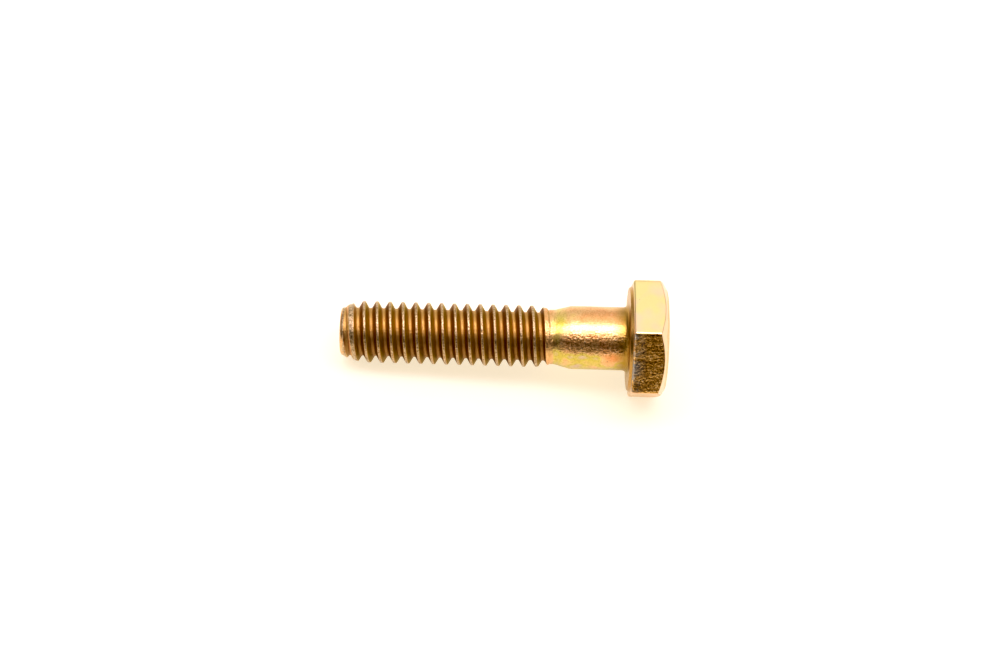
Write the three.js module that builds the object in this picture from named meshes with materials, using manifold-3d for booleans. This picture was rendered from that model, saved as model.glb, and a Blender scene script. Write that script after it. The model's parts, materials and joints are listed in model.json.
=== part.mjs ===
// Hex cap screw, 1/4-20 UNC x 1-1/8 in, partly threaded, cold headed and thread rolled from one
// piece of steel. Millimetres. The axis lies along X with the head at +X, the origin is the centre
// of the head's end face, and two of the six wrench flats face +Z and -Z.
import * as THREE from "three";
import { mergeVertices } from "three/addons/utils/BufferGeometryUtils.js";
import Module from "manifold-3d";

// Head.
const ACROSS_FLATS = 11.05;
const HEAD_HEIGHT = 3.75; // from the bearing face to the end face
const CORNER_RADIUS = 0.4; // on the six long edges of the hexagon
const UNDER_EDGE_DEPTH = 0.3; // soft edge round the underside of the hexagon, along the axis
const UNDER_EDGE_REACH = 0.25; // and inwards from the flats
const END_FACE_DIA = 9.7; // flat circle that the end chamfer leaves
const END_CHAMFER = THREE.MathUtils.degToRad(30); // measured from the end face
const WASHER_FACE_DIA = 10.1;
const WASHER_BASE_DIA = 10.4; // where the tapered washer face meets the hexagon
const WASHER_FACE_HEIGHT = 0.28;

// Shank, in distances along the axis from the bearing face towards the tip.
const LENGTH = 28.2; // under the head
const BODY_DIA = 6.24;
const FILLET_RADIUS = 0.55;
const BODY_END = 5.6; // the full body stops and the cone begins
const NECK_START = 7.3; // the cone meets the neck
const NECK_END = 7.65;
const CORE_END = 8.6; // the neck's end sinks below the thread roots
const NECK_DIA = 5.4; // the rolled blank's diameter

// Thread.
const PITCH = 25.4 / 20;
const MAJOR_DIA = 6.14;
const MINOR_DIA = 4.68;
const CREST_FLAT = 0.26;
const ROOT_FLAT = 0.16;
const LAST_CREST = 9.64; // the last full crest, where it crosses the +Y side
const FADE_START = 9.7; // the crests lose height from about here towards the neck
const FADE_END = 7.5;
// Point: radius of the crests' outline at distances from the tip's end face.
const POINT = [
  [0, 2.3],
  [0.7, 2.66],
  [1.6, 2.92],
  [2.8, 3.16], // past here the outline is clear of the crests
];

// Fineness.
const SHANK_SEGMENTS = 36; // per turn of the thread, and round the shank
const HEAD_SEGMENTS = 72; // a multiple of 6, so that all flats are alike
const ARC_STEPS = 4;
const OVERRUN = 1.5; // how far a body runs past the face that trims it

const BEARING_FACE = -HEAD_HEIGHT;
const TIP = BEARING_FACE - LENGTH;

const wasm = await Module();
wasm.setup();

// A closed geometry as a solid, ready to be joined, cut or trimmed.
function solidOf(geometry) {
  geometry.deleteAttribute("normal");
  geometry.deleteAttribute("uv");
  const merged = mergeVertices(geometry, 1e-5);
  return new wasm.Manifold(
    new wasm.Mesh({
      numProp: 3,
      vertProperties: merged.attributes.position.array,
      triVerts: new Uint32Array(merged.index.array),
    }),
  );
}

function geometryOf(solid) {
  const { vertProperties, triVerts } = solid.getMesh();
  const geometry = new THREE.BufferGeometry();
  geometry.setAttribute("position", new THREE.BufferAttribute(vertProperties, 3));
  geometry.setIndex(new THREE.BufferAttribute(triVerts, 1));
  geometry.computeVertexNormals();
  return geometry;
}

// A body of revolution about X from [x, radius] pairs in order of rising x.
function turned(outline, segments) {
  const points = outline.map(([x, radius]) => new THREE.Vector2(radius, x));
  points.unshift(new THREE.Vector2(0, points[0].y));
  points.push(new THREE.Vector2(0, points.at(-1).y));
  return solidOf(new THREE.LatheGeometry(points, segments).rotateZ(-Math.PI / 2));
}

// One turn of the right-hand thread form, as [distance along the axis, radius] pairs from the
// start of a crest up to the start of the next one.
function threadForm() {
  const flank = (PITCH - CREST_FLAT - ROOT_FLAT) / 2;
  return [
    [0, MAJOR_DIA / 2],
    [CREST_FLAT, MAJOR_DIA / 2],
    [CREST_FLAT + flank, MINOR_DIA / 2],
    [CREST_FLAT + flank + ROOT_FLAT, MINOR_DIA / 2],
  ];
}

// A threaded rod whose end faces are left stepped, so it is made longer than needed and trimmed.
// Each column of vertices climbs by one pitch in a full turn and joins the first column there.
function threadedRod(fromX, turns) {
  const form = threadForm();
  const rows = turns * form.length;
  const vertices = [];
  const faces = [];
  const ring = (row, column) => {
    const wraps = Math.floor(column / SHANK_SEGMENTS);
    return (row + wraps * form.length) * SHANK_SEGMENTS + (column % SHANK_SEGMENTS);
  };
  for (let row = 0; row <= rows + form.length; row++) {
    const [along, radius] = form[row % form.length];
    const turn = Math.floor(row / form.length);
    for (let column = 0; column < SHANK_SEGMENTS; column++) {
      const share = column / SHANK_SEGMENTS;
      const angle = share * 2 * Math.PI;
      const x = fromX + PITCH * (turn + share) + along;
      vertices.push(x, radius * Math.cos(angle), radius * Math.sin(angle));
    }
  }
  for (let row = 0; row < rows; row++) {
    for (let column = 0; column < SHANK_SEGMENTS; column++) {
      const a = ring(row, column);
      const b = ring(row, column + 1);
      const c = ring(row + 1, column + 1);
      const d = ring(row + 1, column);
      faces.push(a, b, c, a, c, d);
    }
  }
  // Each end is a fan from the axis: round the helical rim, then back along the step.
  const rim = (row) => {
    const round = Array.from({ length: SHANK_SEGMENTS }, (_, column) => ring(row, column));
    const step = form.map((_, k) => ring(row + form.length - k, 0));
    return [...round, ...step];
  };
  const close = (row, outward) => {
    const centre = vertices.length / 3;
    vertices.push(fromX + PITCH * (row / form.length + 0.5), 0, 0);
    const loop = rim(row);
    loop.forEach((here, i) => {
      const next = loop[(i + 1) % loop.length];
      faces.push(centre, ...(outward ? [here, next] : [next, here]));
    });
  };
  close(0, false);
  close(rows, true);
  const geometry = new THREE.BufferGeometry();
  geometry.setAttribute("position", new THREE.Float32BufferAttribute(vertices, 3));
  geometry.setIndex(faces);
  return solidOf(geometry);
}

// The threaded length: a long rod trimmed to the crests' outline, which is tapered at the point
// and fades out towards the neck.
function thread() {
  const turns = Math.ceil((LENGTH - FADE_END) / PITCH) + 3;
  const lastCrest = BEARING_FACE - LAST_CREST - CREST_FLAT / 2;
  const rod = threadedRod(lastCrest - (turns - 3) * PITCH, turns);
  const point = POINT.map(([fromTip, radius]) => [TIP + fromTip, radius]);
  const clearOfCrests = POINT.at(-1)[1];
  const insideNeck = NECK_DIA / 2 - 0.02;
  const outline = turned(
    [
      ...point,
      [BEARING_FACE - FADE_START, clearOfCrests],
      [BEARING_FACE - FADE_END, insideNeck],
      [BEARING_FACE - NECK_START, insideNeck],
    ],
    SHANK_SEGMENTS,
  );
  return rod.intersect(outline);
}

// Neck, cone, full body and the fillet that runs into the bearing face.
function body() {
  const radius = BODY_DIA / 2;
  const fillet = Array.from({ length: ARC_STEPS + 1 }, (_, i) => {
    const turn = (i / ARC_STEPS) * (Math.PI / 2);
    return [
      BEARING_FACE - FILLET_RADIUS * (1 - Math.sin(turn)),
      radius + FILLET_RADIUS * (1 - Math.cos(turn)),
    ];
  });
  return turned(
    [
      [BEARING_FACE - CORE_END, MINOR_DIA / 2 - 0.1],
      [BEARING_FACE - NECK_END, NECK_DIA / 2],
      [BEARING_FACE - NECK_START, NECK_DIA / 2],
      [BEARING_FACE - BODY_END, radius],
      ...fillet,
      [BEARING_FACE + WASHER_FACE_HEIGHT, radius + FILLET_RADIUS],
    ],
    SHANK_SEGMENTS,
  );
}

function washerFace() {
  return turned(
    [
      [BEARING_FACE, WASHER_FACE_DIA / 2],
      [BEARING_FACE + WASHER_FACE_HEIGHT, WASHER_BASE_DIA / 2],
      [BEARING_FACE + WASHER_FACE_HEIGHT + UNDER_EDGE_DEPTH, WASHER_BASE_DIA / 2],
    ],
    HEAD_SEGMENTS,
  );
}

// Hexagon outline with rounded corners, flats facing the outline's own +X and -X.
function hexagon() {
  const cornerDistance = (ACROSS_FLATS / 2 - CORNER_RADIUS) / Math.cos(Math.PI / 6);
  const outline = new THREE.Shape();
  for (let corner = 0; corner < 6; corner++) {
    const angle = ((corner + 0.5) * Math.PI) / 3;
    outline.absarc(
      cornerDistance * Math.cos(angle),
      cornerDistance * Math.sin(angle),
      CORNER_RADIUS,
      angle - Math.PI / 6,
      angle + Math.PI / 6,
    );
  }
  outline.closePath();
  return outline;
}

// The hexagon prism, soft-edged below and cut by the cone of the end chamfer.
function hexHead() {
  const underside = BEARING_FACE + WASHER_FACE_HEIGHT;
  const prism = new THREE.ExtrudeGeometry(hexagon(), {
    depth: -underside + OVERRUN,
    curveSegments: 2,
    bevelThickness: UNDER_EDGE_DEPTH,
    bevelSize: UNDER_EDGE_REACH,
    bevelOffset: -UNDER_EDGE_REACH,
    bevelSegments: 3,
  });
  prism.rotateY(Math.PI / 2).translate(underside + UNDER_EDGE_DEPTH, 0, 0);
  const reach = ACROSS_FLATS; // any radius clear of the corners
  const chamferDepth = (reach - END_FACE_DIA / 2) * Math.tan(END_CHAMFER);
  const cone = turned(
    [
      [underside - OVERRUN, reach],
      [-chamferDepth, reach],
      [0, END_FACE_DIA / 2],
    ],
    HEAD_SEGMENTS,
  );
  return solidOf(prism).intersect(cone);
}

const bolt = new THREE.Group();
const steel = new THREE.MeshStandardMaterial({
  name: "yellow_zinc_steel",
  color: 0xc79a4b,
  roughness: 0.35,
  metalness: 1,
  flatShading: true,
});
const wholeBolt = hexHead().add(washerFace()).add(body()).add(thread());
const hexBolt = new THREE.Mesh(geometryOf(wholeBolt), steel);
hexBolt.name = "hex_bolt";
bolt.add(hexBolt);

export default bolt;
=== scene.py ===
import json
import math

import bmesh
import bpy
import numpy as np
from mathutils import Matrix, Vector, noise


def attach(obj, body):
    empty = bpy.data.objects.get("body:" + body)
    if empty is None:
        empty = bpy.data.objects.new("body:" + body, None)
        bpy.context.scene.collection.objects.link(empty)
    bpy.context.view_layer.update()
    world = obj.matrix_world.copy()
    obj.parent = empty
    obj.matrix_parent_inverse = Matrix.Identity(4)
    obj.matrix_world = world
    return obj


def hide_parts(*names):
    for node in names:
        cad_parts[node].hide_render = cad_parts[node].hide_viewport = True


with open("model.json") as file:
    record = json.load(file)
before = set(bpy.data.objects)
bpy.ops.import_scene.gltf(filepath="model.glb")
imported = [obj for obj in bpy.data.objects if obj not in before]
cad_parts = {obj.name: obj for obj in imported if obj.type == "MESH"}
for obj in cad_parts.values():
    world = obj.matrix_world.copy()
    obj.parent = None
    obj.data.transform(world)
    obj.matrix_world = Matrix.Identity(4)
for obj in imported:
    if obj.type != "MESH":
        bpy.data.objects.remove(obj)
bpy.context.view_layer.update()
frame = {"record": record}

# Shapes are worked out in millimetres and scaled to metres when the mesh is made.
MM = 0.001
TAU = 2 * math.pi

# Places along the axis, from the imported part's mounts.
mounts = {mount["name"]: mount["pos_m"] for mount in frame["record"]["mounts"]}
BEARING_X = mounts["bearing_face"][0] / MM
TIP_X = mounts["tip_face"][0] / MM
FLAT_Z = mounts["wrench_flat_top"][2] / MM

# Thread.
PITCH = 1.27
CREST_R = 3.04
ROOT_R = 2.36
CREST_FLAT = 0.23
FLANK_SLOPE = math.tan(math.radians(60))
CREST_SOFTNESS = 0.06  # reach of the rounding where a flank meets the crest
ROOT_SOFTNESS = 0.09
JOINT_SOFTNESS = 0.06  # and where the thread meets its limit and the core
LAST_CREST_X = BEARING_X - 9.64  # the last full crest, where it crosses the +Y side

# Shank: [x, radius] outlines of the crests' limit and of the solid core under the thread.
BODY_R = 3.12
FILLET = 0.55
CREST_LIMIT = [
    [TIP_X, 2.22],
    [TIP_X + 0.07, 2.32],
    [TIP_X + 0.7, 2.66],
    [TIP_X + 1.6, 2.92],
    [TIP_X + 2.8, 3.16],
    [BEARING_X - 9.7, 3.16],
    [BEARING_X - 7.7, 2.76],
    [BEARING_X - 7.3, 2.3],
]
CORE = [
    [BEARING_X - 8.7, 2.04],
    [BEARING_X - 7.7, 2.69],
    [BEARING_X - 7.2, 2.70],
    [BEARING_X - 5.7, 3.10],
    [BEARING_X - 5.3, BODY_R],
]
HELIX_END_X = BEARING_X - 5.0  # rows follow the thread up to here and are plain rings after it
THREAD_START_X = BEARING_X - 7.3  # on the neck, where the brown of the thread begins
TIP_DISH = 0.12

# Head.
CORNER_R = 0.4
END_FACE_R = 4.85
CHAMFER_SLOPE = math.tan(math.radians(30))
WASHER_R = 5.05
WASHER_BASE_R = 5.2
WASHER_HEIGHT = 0.28

# Fineness of the skin.
COLUMNS = 216  # a multiple of 6, so that all corners of the head are alike
ROWS_PER_PITCH = 16
BODY_ROWS = 16
DISC_ROWS = 10
CURVE_STEPS = 5
CORNER_CROWDING = 0.8  # how much closer together the head's columns are at its corners
FLAT_SHARES = (0.04, 0.2, 0.4, 0.6, 0.8, 0.96)  # places of the rows along each straight run
THREAD_SAMPLES = 601  # fine steps along one pitch, from which the rows are picked
TURNING_WEIGHT = 0.12  # how strongly the rows crowd where the thread's outline turns
SPLIT_SHARE = 0.49  # share of the rows on the first of the bake sheet's two bands
SHEET_BANDS = ((0.01, 0.42), (0.44, 0.99))  # where they start and end, up the sheet
SHEET_START, SHEET_WIDTH = 0.01, 0.98  # of both bands, across the sheet
MERGE_DISTANCE = 2e-8  # metres

# Wear, in millimetres.
RIPPLE = 0.010  # mean depth of the uneven plating all over
RAGGED = 0.09  # depth of the dents on the crests at the tip
RAGGED_LENGTH = 3.5  # from the tip, where the dents fade out

# How pale and smooth the plating is on each flat, in the order from +Y over +Z, on the head's end
# face and on everything else. 1 is pale and smooth, 0 dark and streaked. On the top flat and the
# front flat this is partly the plating's own tone and partly painted reflection: pale where the top
# flat faces the softbox overhead, dark where the front flat faces the dark room.
FLAT_TONES_AND_PAINTED_REFLECTION = (0.35, 1.0, 0.0, 0.6, 0.2, 0.7)
END_FACE_TONE = 0.75
PLAIN_TONE = 0.5

# How deep the grain is, as a share of its depth on plain surfaces.
DULL_FLAT_GRAIN = 0.62
PALE_FLAT_GRAIN = 0.08
SMOOTH_SIDE_GRAIN = 0.35
END_FACE_GRAIN = 0.25  # on faces across the axis and chamfers, at the head and at the tip

# Marks on the plating. Each pair says how far off a mark is full and how far off it has gone, in
# millimetres.
RUBBED_CREST = (0.02, 0.24)  # down from the crests' outline
SHINING_ROOT = (0.02, 0.14)  # up from the root's radius
CORNER_DARKENING = (0.4, 1.6)  # along the shank from the bearing face
WORN_UNDERSIDE = (WASHER_HEIGHT, 1.4)  # up the flats from the bearing face
WORN_TIP = (0.15, 0.4)  # from the tip's end face
GOLDEN_TIP = (0.6, 1.8)  # from the tip's end face, and where it has gone the flanks are brown

# A tinted band near the neck: its centre's distance from the bearing face, and its half width.
NECK_TINT = (6.9, 0.9)
LOW_CRESTS = 1.0  # crests this close to the thread's start are too low to be rubbed

# Sides of the shank, as y and z of a direction across the axis.
PATCHY_SIDE = (-0.469, -0.883)  # rainbow patches on the shank, and on the thread a darker film with painted shade
GRAIN_AND_GLINT_SIDE = (-0.866, 0.5)  # the shank's coarsest grain, its strongest stains and its painted glints

TABLE_REACH = 2.0  # metres to each side

# Colours and roughness values that stand for one thing each.
STAIN_BROWN = (0.36, 0.19, 0.035)
# Light specks painted into the colour as glints, standing in for tiny facets that catch the light.
PAINTED_GLINT = (0.98, 0.80, 0.62)
CORNER_BROWN = (0.40, 0.25, 0.04)
PIT_BLACK = (0.10, 0.05, 0.02)
RIM_GOLD = (0.89, 0.69, 0.47)
ROOT_GOLD = (0.60, 0.40, 0.15)
# Darkens the thread's underside: partly darker film, partly painted shade.
DARK_FILM_AND_SHADE = (0.72, 0.64, 0.56)
BARE_STEEL = (0.34, 0.36, 0.38)
MATT = (0.5, 0.5, 0.5)  # roughness of flanks and roots
RUBBED = (0.36, 0.36, 0.36)  # roughness of rubbed crests

# Names of the values at the vertices that the material reads, each made in surface_facts.
FACTS = (
    "flank",
    "crest",
    "root",
    "flat_tone_and_reflection",
    "worn_edge",
    "rim",
    "corner_darkening",
    "film_centre",
    "film_spread",
    "grain_and_painted_glint_side",
    "coarse",
    "glaze",
    "thread_shade_and_film",
)


def smooth_min(a, b, reach):
    """The lower of a and b, with the crease between them rounded off over about reach."""
    near = np.maximum(reach - np.abs(a - b), 0) / reach
    return np.minimum(a, b) - near * near * reach / 4


def smooth_max(a, b, reach):
    return -smooth_min(-a, -b, reach)


def along(outline, x):
    places, radii = zip(*outline)
    return np.interp(x, places, radii)


# ---------------------------------------------------------------- shank


def thread_radius(x, angle):
    """Radius of an endless right-hand thread at a place along the axis and an angle about it."""
    turns = (x - LAST_CREST_X) / PITCH - angle / TAU
    from_crest = np.abs(turns - np.round(turns)) * PITCH
    flank = CREST_R - (from_crest - CREST_FLAT / 2) * FLANK_SLOPE
    return smooth_max(smooth_min(flank, CREST_R, CREST_SOFTNESS), ROOT_R, ROOT_SOFTNESS)


def shank_radius(x, angle):
    threaded = smooth_min(thread_radius(x, angle), along(CREST_LIMIT, x), JOINT_SOFTNESS)
    return smooth_max(threaded, along(CORE, x), JOINT_SOFTNESS)


def thread_stations():
    """Places of the rows within one pitch, closer together on the rounded crest and root."""
    places = np.linspace(0, PITCH, THREAD_SAMPLES)
    slope = np.gradient(thread_radius(LAST_CREST_X + places, 0.0), places)
    turning = np.abs(np.gradient(np.arctan(slope), places))
    weight = np.hypot(1, slope) + TURNING_WEIGHT * turning
    total = np.concatenate([[0], np.cumsum((weight[1:] + weight[:-1]) / 2)])
    return np.interp(np.arange(ROWS_PER_PITCH) / ROWS_PER_PITCH * total[-1], total, places)


def threaded_rows(angle):
    """Rows that follow the helix. Where one runs past an end, it lies on that end's ring."""
    first_turn = math.floor((TIP_X - LAST_CREST_X) / PITCH) - 1
    turns = math.ceil((HELIX_END_X - TIP_X) / PITCH) + 3
    starts = LAST_CREST_X + (first_turn + np.arange(turns)) * PITCH
    rows = (starts[:, None] + thread_stations()).reshape(-1, 1)
    x = np.clip(rows + PITCH * angle / TAU, TIP_X, HELIX_END_X)
    return x, shank_radius(x, angle)


def tip_rows(angle):
    """The tip's end face, from its centre to its rim, slightly dished."""
    rim = shank_radius(np.full_like(angle, TIP_X), angle)
    share = np.linspace(0, 1, DISC_ROWS, endpoint=False)[:, None]
    x = TIP_X + TIP_DISH * (1 - share**3) + 0 * rim
    return x, share * rim


def body_rows(angle):
    """Plain body and the fillet under the head."""
    straight = np.linspace(HELIX_END_X, BEARING_X - FILLET, BODY_ROWS + 1)[1:-1]
    turn = np.linspace(0, math.pi / 2, 2 * CURVE_STEPS + 1)
    x = np.concatenate([straight, BEARING_X - FILLET * (1 - np.sin(turn))])
    radius = np.concatenate([np.full_like(straight, BODY_R), BODY_R + FILLET * (1 - np.cos(turn))])
    return x[:, None] + 0 * angle, radius[:, None] + 0 * angle


# ---------------------------------------------------------------- head


def head_angles():
    """Angles of the head's columns, crowded together at the six corners."""
    sixths = np.linspace(0, 6, COLUMNS + 1)
    return (sixths - CORNER_CROWDING * np.sin(TAU * sixths) / TAU) * TAU / 6


def hexagon_radius(angle):
    """Hexagon with rounded corners, one of them at angle 0.

    The flat takes over from the corner's arc a little before the two meet.
    """
    corner_distance = (FLAT_Z - CORNER_R) / math.cos(math.pi / 6)
    from_corner = np.abs(angle - np.round(angle / (TAU / 6)) * TAU / 6)
    flat = FLAT_Z / np.cos(math.pi / 6 - from_corner)
    beside = corner_distance * np.sin(from_corner)
    arc = corner_distance * np.cos(from_corner) + np.sqrt(np.maximum(CORNER_R**2 - beside**2, 0))
    arc_reach = 0.94 * CORNER_R * math.sin(math.pi / 6)
    return np.where(beside < arc_reach, arc, flat)


def soft_outline(corners):
    """Points along straight runs between corners, each of which is softened by a short curve.

    A corner is x, radius and how far the curve reaches back and on from it. The first two may be
    arrays with one value for each column.
    """
    places = [np.stack(np.broadcast_arrays(x, radius), -1) for x, radius, _, _ in corners]
    rows = []
    for i in range(1, len(corners) - 1):
        back, onward = places[i - 1] - places[i], places[i + 1] - places[i]
        start = places[i] + back * corners[i][2] / np.linalg.norm(back, axis=-1, keepdims=True)
        end = places[i] + onward * corners[i][3] / np.linalg.norm(onward, axis=-1, keepdims=True)
        before = rows[-1] if rows else places[0]
        rows += [before + (start - before) * share for share in FLAT_SHARES]
        # The curve leaves one run and joins the next without a kink.
        for t in np.linspace(0, 1, CURVE_STEPS + 1):
            rows.append((1 - t) ** 2 * start + 2 * t * (1 - t) * places[i] + t * t * end)
    return np.stack(rows)


def head_rows(angle):
    """Bearing face, washer face, underside, flats, chamfer and end face."""
    hexagon = hexagon_radius(angle)
    underside = BEARING_X + WASHER_HEIGHT
    chamfer_start = -(hexagon - END_FACE_R) * CHAMFER_SLOPE
    corners = [
        (BEARING_X, BODY_R + FILLET + 0 * angle, 0, 0),
        (BEARING_X, WASHER_R, 0.05, 0.05),
        (underside, WASHER_BASE_R, 0.04, 0.04),
        (underside, hexagon, 0.27, 0.3),
        (chamfer_start, hexagon, 0.07, 0.07),
        (0.0, END_FACE_R, 0.08, 0.1),
        (0.0, 0.0, 0, 0),
    ]
    rows = soft_outline(corners)
    inward = np.linspace(1, 0, DISC_ROWS + 1)[1:, None, None]
    end_face = rows[-1] * inward
    rows = np.concatenate([rows, end_face])
    return rows[..., 0], rows[..., 1]


# ---------------------------------------------------------------- skin


def skin():
    """The whole bolt as one table of rows from the tip's centre to the end face's centre."""
    shank_angle = np.linspace(0, TAU, COLUMNS + 1)
    head_angle = head_angles()
    sections = [
        (*tip_rows(shank_angle), shank_angle),
        (*threaded_rows(shank_angle), shank_angle),
        (*body_rows(shank_angle), shank_angle),
        (*head_rows(head_angle), head_angle),
    ]
    x = np.concatenate([section[0] for section in sections])
    radius = np.concatenate([section[1] for section in sections])
    angle = np.concatenate([section[2] + 0 * section[0] for section in sections])
    return x, radius, angle


def band_mesh(mesh, layer, points, sheet):
    """Adds one band of the skin's table to the mesh, with its places on the bake sheet."""
    vertices = [[mesh.verts.new(point) for point in row] for row in points]
    for i in range(len(points) - 1):
        for j in range(points.shape[1] - 1):
            cell = [(i, j), (i, j + 1), (i + 1, j + 1), (i + 1, j)]
            face = mesh.faces.new([vertices[a][b] for a, b in cell])
            face.smooth = True
            for loop, corner in zip(face.loops, cell):
                loop[layer].uv = sheet[corner]


def wear_down(mesh):
    """Moves the surface inwards by up to 20 microns, and by more on the crests near the tip."""
    mesh.normal_update()
    for vertex in mesh.verts:
        place = vertex.co / MM
        near_tip = max(0.0, 1 - (place.x - TIP_X) / RAGGED_LENGTH)
        crest = max(0.0, (math.hypot(place.y, place.z) - ROOT_R) / (CREST_R - ROOT_R))
        ripple = RIPPLE * (1 + noise.noise(place * 0.9))
        ragged = RAGGED * near_tip * min(crest, 1) * max(0.0, noise.noise(place * 2.3) + 0.25)
        vertex.co -= vertex.normal * (ripple + ragged) * MM


def bolt_mesh():
    """The skin as one mesh, in two bands on the bake sheet: the tip's end and the head's end."""
    x, radius, angle = skin()
    points = np.stack([x, radius * np.cos(angle), radius * np.sin(angle)], -1) * MM
    steps = np.hypot(np.diff(x, axis=0), np.diff(radius, axis=0))
    length = np.concatenate([np.zeros((1, COLUMNS + 1)), np.cumsum(steps, 0)])
    split = int(len(x) * SPLIT_SHARE)
    mesh = bmesh.new()
    layer = mesh.loops.layers.uv.new("OFBake")
    for first, last, (low, high) in zip((0, split), (split, len(x) - 1), SHEET_BANDS):
        across = length[first : last + 1] - length[first]
        across = SHEET_START + SHEET_WIDTH * across / across.max()
        up = low + (high - low) * angle[first : last + 1] / TAU
        band_mesh(mesh, layer, points[first : last + 1], np.stack([across, up], -1))
    bmesh.ops.remove_doubles(mesh, verts=mesh.verts, dist=MERGE_DISTANCE)
    bmesh.ops.recalc_face_normals(mesh, faces=mesh.faces)
    wear_down(mesh)
    data = bpy.data.meshes.new("hex_bolt_skin")
    mesh.to_mesh(data)
    mesh.free()
    return data


def rising(value, start, end):
    """0 before start, 1 past end, and a straight rise in between."""
    return np.clip((value - start) / (end - start), 0, 1)


def falling(value, start, end):
    """1 before start, 0 past end."""
    return rising(-value, -end, -start)


def out_towards(side, y, z):
    """How far out towards a side a place lies, where 1 is the body's surface."""
    return (side[0] * y + side[1] * z) / BODY_R


def head_tone_and_reflection(x, y, z, on_hexagon):
    """Each flat's tone on the hexagon's sixths, partly painted reflection on the top and front flats,
    and the plainer tones elsewhere.
    """
    sixth = np.floor(np.mod(np.arctan2(z, y), TAU) / (TAU / 6)).astype(int) % 6
    near_end_face = x > -0.3
    elsewhere = np.where(near_end_face, END_FACE_TONE, PLAIN_TONE)
    return np.where(on_hexagon, np.array(FLAT_TONES_AND_PAINTED_REFLECTION)[sixth], elsewhere)


def coarseness(x, slant, flat_tone_and_reflection, on_shank, grain_and_painted_glint_side):
    """Depth of the grain: least on pale flats, end faces and the shank's smooth side."""
    coarse = np.interp(flat_tone_and_reflection, (0, PLAIN_TONE, 1), (DULL_FLAT_GRAIN, 1, PALE_FLAT_GRAIN))
    coarse *= np.where(on_shank, SMOOTH_SIDE_GRAIN + (1 - SMOOTH_SIDE_GRAIN) * grain_and_painted_glint_side, 1)
    at_an_end = (x > BEARING_X - 0.05) | (x < TIP_X + 0.6)
    return coarse * np.where((slant > 0.3) & at_an_end, END_FACE_GRAIN, 1)


def darkened_corner(x, radius):
    """Darker in the corner under the head, less on the washer face and none beyond it."""
    darkness = falling(BEARING_X - x, *CORNER_DARKENING)
    darkness *= 1 - 0.25 * rising(radius, BODY_R + FILLET, BODY_R + FILLET + 0.3)
    return darkness * (x < BEARING_X + 0.5) * (radius < WASHER_BASE_R + 0.02)


def surface_facts(x, y, z, slant):
    """What the surface is like at each vertex.

    Slant is 0 where the surface faces straight out from the axis and 1 where it faces along it.
    """
    radius = np.hypot(y, z)
    from_tip = x - TIP_X
    up_head = x - BEARING_X
    on_thread = x < THREAD_START_X
    on_shank = ~on_thread & (up_head < 0)
    on_hexagon = (up_head > 0) & (radius > WASHER_BASE_R)

    patchy_side = out_towards(PATCHY_SIDE, y, z)
    patchy = rising(patchy_side, 0, 0.2) * on_shank
    near_neck = falling(np.abs(up_head + NECK_TINT[0]), 0, NECK_TINT[1])
    # Side with the deepest grain, the strongest stains and painted glints.
    grain_and_painted_glint_side = rising(out_towards(GRAIN_AND_GLINT_SIDE, y, z), 0.80, 0.93) * (1 - patchy) * on_shank
    flat_tone_and_reflection = head_tone_and_reflection(x, y, z, on_hexagon)

    crest_top = np.minimum(CREST_R, along(CREST_LIMIT, x))
    tall_crests = x < THREAD_START_X - LOW_CRESTS
    crest = falling(crest_top - radius, *RUBBED_CREST) * falling(slant, 0.3, 0.6) * tall_crests
    root = falling(radius - ROOT_R, *SHINING_ROOT) * on_thread * (from_tip > 0.3)

    corner_darkening = darkened_corner(x, radius)
    worn_underside = falling(up_head, *WORN_UNDERSIDE) * on_hexagon
    chamfer = rising(slant, 0.3, 0.45) * (slant < 0.96) * on_hexagon * (up_head > 1.5)
    return {
        "flank": rising(slant, 0.4, 0.7) * on_thread * rising(from_tip, *GOLDEN_TIP),
        "crest": crest,
        "root": root,
        "flat_tone_and_reflection": flat_tone_and_reflection,
        "worn_edge": worn_underside + 0.5 * falling(from_tip, *WORN_TIP),
        "rim": chamfer,
        "corner_darkening": corner_darkening,
        "film_centre": 0.44 + 0.12 * patchy + 0.10 * near_neck,
        "film_spread": 0.3 + 0.6 * patchy,
        "grain_and_painted_glint_side": grain_and_painted_glint_side,
        "coarse": coarseness(x, slant, flat_tone_and_reflection, on_shank, grain_and_painted_glint_side),
        "glaze": np.where(on_thread, 0.05 + 0.5 * crest, 0.5 - 0.4 * corner_darkening),
        # The thread darker on its underside: partly darker film, partly painted shade.
        "thread_shade_and_film": rising(patchy_side, -0.4, 0.1) * on_thread * (0.7 + 0.5 * root),
    }


def add_surface_facts(data):
    """Stores the facts as named values at the vertices."""
    place = np.empty(len(data.vertices) * 3)
    data.vertices.foreach_get("co", place)
    x, y, z = place.reshape(-1, 3).T / MM
    normal = np.empty(len(data.vertices) * 3)
    data.vertex_normals.foreach_get("vector", normal)
    facts = surface_facts(x, y, z, np.abs(normal.reshape(-1, 3)[:, 0]))
    for name in FACTS:
        layer = data.attributes.new(name, "FLOAT", "POINT")
        layer.data.foreach_set("value", facts[name].astype(np.float32))


# ---------------------------------------------------------------- material


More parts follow.
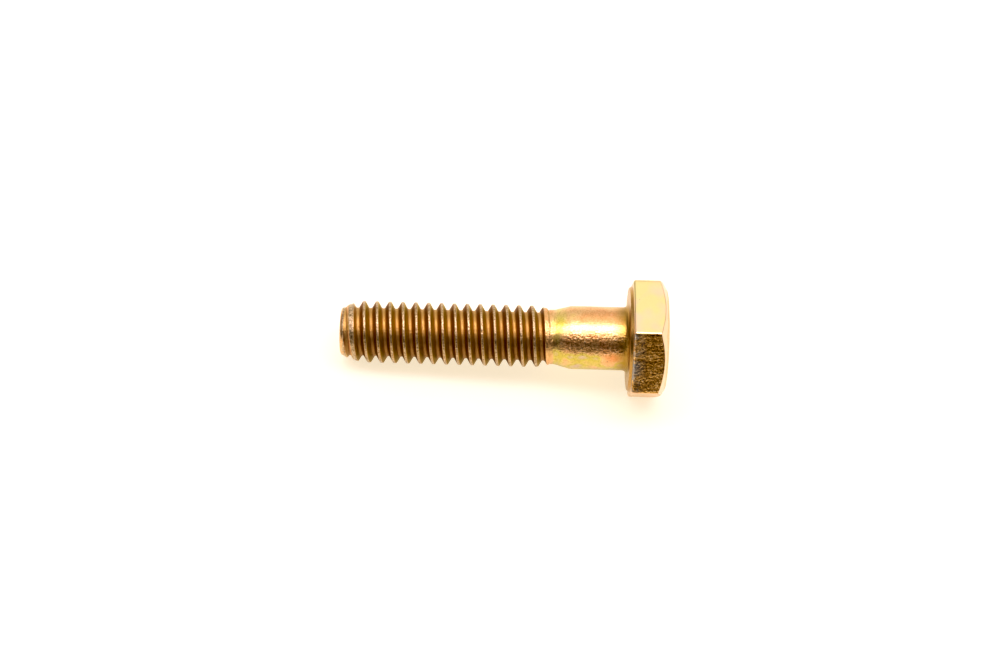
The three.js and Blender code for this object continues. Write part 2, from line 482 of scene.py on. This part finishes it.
class Shader:
    """Short calls that build a node tree, each giving the output that the next one needs."""

    def __init__(self, tree):
        self.tree = tree
        tree.nodes.clear()

    def node(self, kind, inputs=(), **settings):
        made = self.tree.nodes.new("ShaderNode" + kind)
        for name, value in settings.items():
            setattr(made, name, value)
        for socket, value in dict(inputs).items():
            if isinstance(value, bpy.types.NodeSocket):
                self.tree.links.new(value, made.inputs[socket])
            else:
                made.inputs[socket].default_value = value
        return made

    def math(self, operation, a, b=0.0, c=0.0):
        return self.node("Math", {0: a, 1: b, 2: c}, operation=operation).outputs[0]

    def scaled(self, place, scale):
        return self.node("Mapping", {"Vector": place, "Scale": scale}).outputs[0]

    def noise(self, place, scale, detail=2.0, roughness=0.5):
        inputs = {"Vector": place, "Scale": scale, "Detail": detail, "Roughness": roughness}
        return self.node("TexNoise", inputs).outputs["Fac"]

    def ramp(self, value, stops):
        """Colour or grey from a value. A stop is a place and a grey or a colour."""
        made = self.node("ValToRGB", {"Fac": value})
        elements = made.color_ramp.elements
        while len(elements) < len(stops):
            elements.new(1.0)
        for element, (place, shade) in zip(elements, stops):
            element.position = place
            element.color = (*([shade] * 3 if isinstance(shade, (int, float)) else shade), 1)
        return made.outputs["Color"]

    def mix(self, factor, a, b, blend="MIX"):
        inputs = {"Factor": factor, "A": a, "B": b}
        made = self.tree.nodes.new("ShaderNodeMix")
        made.data_type = "RGBA"
        made.blend_type = blend
        for name, value in inputs.items():
            socket = next(s for s in made.inputs if s.name == name and s.enabled)
            if isinstance(value, bpy.types.NodeSocket):
                self.tree.links.new(value, socket)
            else:
                socket.default_value = value if name == "Factor" else (*value, 1)
        return next(s for s in made.outputs if s.enabled)


def golden_film(shader, place, fact, speckle):
    """Gold that drifts to red, green and pink with the film's thickness, with stains and painted
    glints.
    """
    wander = shader.math("SUBTRACT", shader.noise(place, 0.55, 1.5, 0.5), 0.5)
    film = shader.math("MULTIPLY_ADD", wander, fact["film_spread"], fact["film_centre"])
    gold = shader.ramp(
        film,
        [
            (0.34, (0.82, 0.40, 0.16)),
            (0.43, (0.87, 0.55, 0.26)),
            (0.48, (0.85, 0.57, 0.27)),
            (0.53, (0.78, 0.61, 0.21)),
            (0.59, (0.68, 0.58, 0.11)),
            (0.70, (0.70, 0.54, 0.40)),
            (0.78, (0.74, 0.45, 0.26)),
        ],
    )
    grainy = shader.ramp(fact["grain_and_painted_glint_side"], [(0.0, 0.3), (1.0, 1.0)])
    dark = shader.ramp(speckle, [(0.40, 0.95), (0.49, 0.0)])
    # Painted glints: light specks that stand in for facets catching the light.
    bright = shader.ramp(speckle, [(0.57, 0.0), (0.64, 0.9)])
    gold = shader.mix(shader.math("MULTIPLY", dark, grainy), gold, STAIN_BROWN)
    return shader.mix(shader.math("MULTIPLY", bright, grainy), gold, PAINTED_GLINT)


def tone_flats_and_reflection(shader, place, fact, speckle, gold):
    """Pale film on the brightest flat and dark, streaked film on the dullest: partly the film's own
    tone, partly painted reflection.
    """
    clouds = shader.noise(place, 0.45, 1.0, 0.5)
    pale = shader.ramp(clouds, [(0.42, (0.80, 0.69, 0.34)), (0.58, (0.84, 0.65, 0.44))])
    gold = shader.mix(shader.ramp(fact["flat_tone_and_reflection"], [(0.6, 0.0), (1.0, 0.9)]), gold, pale)
    streaked = shader.scaled(place, (0.15, 1, 1))
    streaks = shader.math("SUBTRACT", shader.noise(streaked, 3.5, 3.0, 0.7), 0.5)
    dull = shader.ramp(
        shader.math("MULTIPLY_ADD", streaks, 0.6, speckle),
        [(0.38, (0.16, 0.08, 0.01)), (0.53, (0.62, 0.35, 0.05)), (0.66, (0.95, 0.70, 0.36))],
    )
    return shader.mix(shader.ramp(fact["flat_tone_and_reflection"], [(0.0, 0.95), (0.35, 0.0)]), gold, dull)


def mark_film(shader, place, fact, gold):
    """Darker brown in the corner under the head, a few dark pits and the lighter chamfer."""
    gold = shader.mix(shader.math("MULTIPLY", fact["corner_darkening"], 0.85), gold, CORNER_BROWN)
    cells = shader.node("TexVoronoi", {"Vector": place, "Scale": 1.1})
    spot = shader.ramp(cells.outputs["Distance"], [(0.05, 1.0), (0.10, 0.0)])
    chosen = shader.ramp(cells.outputs["Color"], [(0.60, 0.0), (0.65, 0.8)])
    glazed = shader.ramp(fact["glaze"], [(0.2, 0.0), (0.4, 1.0)])
    pits = shader.math("MULTIPLY", spot, shader.math("MULTIPLY", chosen, glazed))
    gold = shader.mix(pits, gold, PIT_BLACK)
    return shader.mix(fact["rim"], gold, RIM_GOLD)


def thread_colour(shader, fact):
    """Flanks brown where they face the tip and golden where they face the head, golden roots. The
    difference between the flanks' two sides is partly the film's own and partly painted reflection.
    """
    side = shader.math("MULTIPLY_ADD", fact["facing"], 0.5, 0.5)
    brown = shader.ramp(side, [(0.2, (0.275, 0.13, 0.022)), (0.8, (0.52, 0.365, 0.05))])
    thread = shader.mix(fact["root"], brown, ROOT_GOLD)
    # On the underside the thread is darkened, partly as darker film and partly as painted shade.
    return shader.mix(fact["thread_shade_and_film"], thread, DARK_FILM_AND_SHADE, "MULTIPLY")


def rub_crests(shader, fact, speckle, colour):
    """Lighter, speckled crests with a ragged edge. Also gives the mask of the rubbed places."""
    rubbed = shader.ramp(speckle, [(0.38, (0.25, 0.16, 0.06)), (0.60, (0.76, 0.60, 0.38))])
    ragged = shader.math("MULTIPLY_ADD", shader.math("SUBTRACT", speckle, 0.5), 1.5, fact["crest"])
    crest = shader.ramp(ragged, [(0.45, 0.0), (0.55, 1.0)])
    return shader.mix(crest, colour, rubbed), crest


def wear_edges(shader, place, fact, colour):
    """Plating worn to grey in patches along the duller flats' lower edges and round the tip."""
    patch = shader.ramp(shader.noise(place, 1.1, 3.0, 0.6), [(0.42, 0.1), (0.55, 1.0)])
    bare = shader.math("MULTIPLY", shader.math("MULTIPLY", fact["worn_edge"], patch), 0.9)
    dull = shader.ramp(fact["flat_tone_and_reflection"], [(0.2, 1.0), (0.6, 0.0)])
    return shader.mix(shader.math("MULTIPLY", bare, dull), colour, BARE_STEEL)


def plating_colour(shader, place, fact):
    """Colour of the whole bolt, and the mask of its rubbed crests."""
    speckle = shader.noise(place, 5.0, 4.0, 0.75)
    gold = golden_film(shader, place, fact, speckle)
    gold = tone_flats_and_reflection(shader, place, fact, speckle, gold)
    gold = mark_film(shader, place, fact, gold)
    threaded = shader.math("MAXIMUM", fact["flank"], fact["root"])
    colour = shader.mix(threaded, gold, thread_colour(shader, fact))
    colour, crest = rub_crests(shader, fact, speckle, colour)
    return wear_edges(shader, place, fact, colour), crest


def plating_roughness(shader, place, fact, crest):
    """Cloudy satin, more matt on the thread's flanks and roots."""
    haze = shader.ramp(shader.noise(place, 2.2, 3.0, 0.6), [(0.35, 0.275), (0.65, 0.31)])
    roughness = shader.mix(fact["flank"], haze, MATT)
    roughness = shader.mix(fact["root"], roughness, MATT)
    return shader.mix(crest, roughness, RUBBED)


def plating_relief(shader, place, fact):
    """Fine grain, with scratches along the axis."""
    grain = shader.noise(place, 5.0, 2.0, 0.6)
    scratches = shader.noise(shader.scaled(place, (0.2, 1, 1)), 9.0, 2.0, 0.6)
    relief = shader.math("MULTIPLY_ADD", scratches, 0.3, grain)
    relief = shader.math("MULTIPLY", relief, fact["coarse"])
    return shader.node("Bump", {"Height": relief, "Strength": 1.0, "Distance": 0.065 * MM}).outputs[0]


def yellow_zinc():
    """Yellow chromate over zinc plating: a clear golden film on finely pitted metal."""
    material = bpy.data.materials.new("yellow_zinc")
    material.use_nodes = True
    shader = Shader(material.node_tree)
    here = shader.node("TexCoord").outputs
    place = shader.scaled(here["Object"], (1 / MM, 1 / MM, 1 / MM))
    fact = {name: shader.node("Attribute", attribute_name=name).outputs["Fac"] for name in FACTS}
    # Which way the surface faces along the axis; the flanks' colour follows it, partly as painted
    # reflection.
    fact["facing"] = shader.node("SeparateXYZ", {0: here["Normal"]}).outputs["X"]
    colour, crest = plating_colour(shader, place, fact)
    surface = shader.node(
        "BsdfPrincipled",
        {
            "Base Color": colour,
            "Metallic": 0.97,
            "Roughness": plating_roughness(shader, place, fact, crest),
            "Normal": plating_relief(shader, place, fact),
            "Coat Weight": fact["glaze"],
            "Coat Roughness": 0.35,
        },
    )
    shader.node("OutputMaterial", {"Surface": surface.outputs[0]})
    return material


# ---------------------------------------------------------------- set


def make_bolt():
    """The detailed bolt, which stands in for the CAD piece in pictures."""
    data = bolt_mesh()
    add_surface_facts(data)
    data.materials.append(yellow_zinc())
    bolt = bpy.data.objects.new("hex_bolt_looks", data)
    bpy.context.scene.collection.objects.link(bolt)
    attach(bolt, "root")
    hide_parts("hex_bolt")


def make_floor():
    """Pale table under the bolt, which lies on its lower flat's edge and the thread's last turns."""
    head_touch = Vector((BEARING_X + 0.6, 0, -FLAT_Z)) * MM
    thread_touch = Vector((TIP_X + 1.8, 0, -2.97)) * MM
    slope = (thread_touch - head_touch).normalized()
    across = Vector((0, 1, 0))
    ways = ((-1, -1), (-1, 1), (1, 1), (1, -1))
    corners = [list(head_touch + TABLE_REACH * (slope * a + across * b)) for a, b in ways]
    data = bpy.data.meshes.new("table")
    data.from_pydata(corners, [], [(0, 1, 2, 3)])
    material = bpy.data.materials.new("white_table")
    material.use_nodes = True
    shader = Shader(material.node_tree)
    place = shader.node("TexCoord").outputs["Object"]
    tone = shader.ramp(shader.noise(place, 40.0), [(0.3, 0.34), (0.7, 0.35)])
    surface = shader.node(
        "BsdfPrincipled",
        {
            "Base Color": tone,
            "Roughness": 0.9,
            "Emission Color": (1.0, 0.89, 0.71, 1),
            "Emission Strength": 0.85,
        },
    )
    shader.node("OutputMaterial", {"Surface": surface.outputs[0]})
    data.materials.append(material)
    floor = bpy.data.objects.new("table", data)
    bpy.context.scene.collection.objects.link(floor)


def light_the_set():
    """Studio surround: a long softbox overhead, a bright wall behind and a dark room in front.

    The light changes with the angle about the bolt's axis: 0 degrees is +Y behind the bolt, 90 is
    overhead and 180 is -Y in front of it. The table hides everything below, and the light is
    weaker beyond the bolt's two ends.
    """
    world = bpy.data.worlds.new("studio")
    bpy.context.scene.world = world
    world.use_nodes = True
    shader = Shader(world.node_tree)
    direction = shader.node("TexCoord").outputs["Generated"]
    parts = shader.node("SeparateXYZ", {0: direction}).outputs
    turn = shader.math("ARCTAN2", parts["Z"], parts["Y"])
    peak = 6.0
    softbox = (peak, 0.88 * peak, peak)
    radiance = {
        0: (0.80, 0.76, 0.74),
        30: (1.0, 0.95, 0.90),
        58: (1.35, 1.30, 1.25),
        75: (1.2, 1.15, 1.1),
        84: softbox,
        97: softbox,
        103: (1.3, 1.25, 1.15),
        115: (0.60, 0.56, 0.48),
        126: (0.36, 0.30, 0.16),
        140: (0.15, 0.11, 0.035),
        150: (0.05, 0.035, 0.01),
        180: (0.01, 0.006, 0.001),
    }
    stops = [(degrees / 180, [c / peak for c in shade]) for degrees, shade in radiance.items()]
    strip = shader.ramp(shader.math("DIVIDE", turn, math.pi), stops)
    side_share = shader.math("MULTIPLY", shader.math("ADD", parts["X"], 1.0), 0.5)
    sides = shader.ramp(side_share, [(0.08, 0.10), (0.3, 1.0), (0.7, 1.0), (0.92, 0.35)])
    strength = shader.math("MULTIPLY", sides, peak)
    glow = shader.node("Background", {"Color": strip, "Strength": strength})
    white = shader.node("Background", {"Color": (1, 1, 1, 1), "Strength": 1.0})
    seen = shader.node("LightPath").outputs["Is Camera Ray"]
    mixed = shader.node("MixShader", {0: seen, 1: glow.outputs[0], 2: white.outputs[0]})
    shader.node("OutputWorld", {"Surface": mixed.outputs[0]})


def set_view():
    """Standard view, with the mid-tones and the blacks a little deepened."""
    view = bpy.context.scene.view_settings
    view.view_transform = "Standard"
    view.gamma = 0.8
    view.use_curve_mapping = True
    view.curve_mapping.black_level = (0.02, 0.02, 0.02)
    view.curve_mapping.update()


def place_camera():
    """Looks down on the bolt from the -Y side, tilted a little to one side."""
    lean, rise, roll = math.radians(0.55), math.radians(55.0), math.radians(1.6)
    focal_mm, distance = 66, 180.7 * MM
    from_tip, above_axis = 15.63, 0.187  # the point aimed at, above it as the camera sees it
    toward = Vector(
        (math.sin(lean), -math.cos(lean) * math.cos(rise), math.cos(lean) * math.sin(rise))
    )
    level = (Vector((1, 0, 0)) - toward * toward.x).normalized()
    over = toward.cross(level)
    right = level * math.cos(roll) + over * math.sin(roll)
    up = over * math.cos(roll) - level * math.sin(roll)
    middle = Vector((TIP_X + from_tip, 0, 0)) * MM
    target = middle + up * above_axis * MM
    camera = bpy.data.objects.new("camera", bpy.data.cameras.new("camera"))
    camera.data.lens = focal_mm
    camera.data.sensor_width = 36
    camera.data.clip_start = 0.01
    turn = Matrix((right, up, toward)).transposed().to_4x4()
    camera.matrix_world = Matrix.Translation(target + toward * distance) @ turn
    bpy.context.scene.collection.objects.link(camera)
    bpy.context.scene.camera = camera


place_camera()
make_bolt()
make_floor()
light_the_set()
set_view()
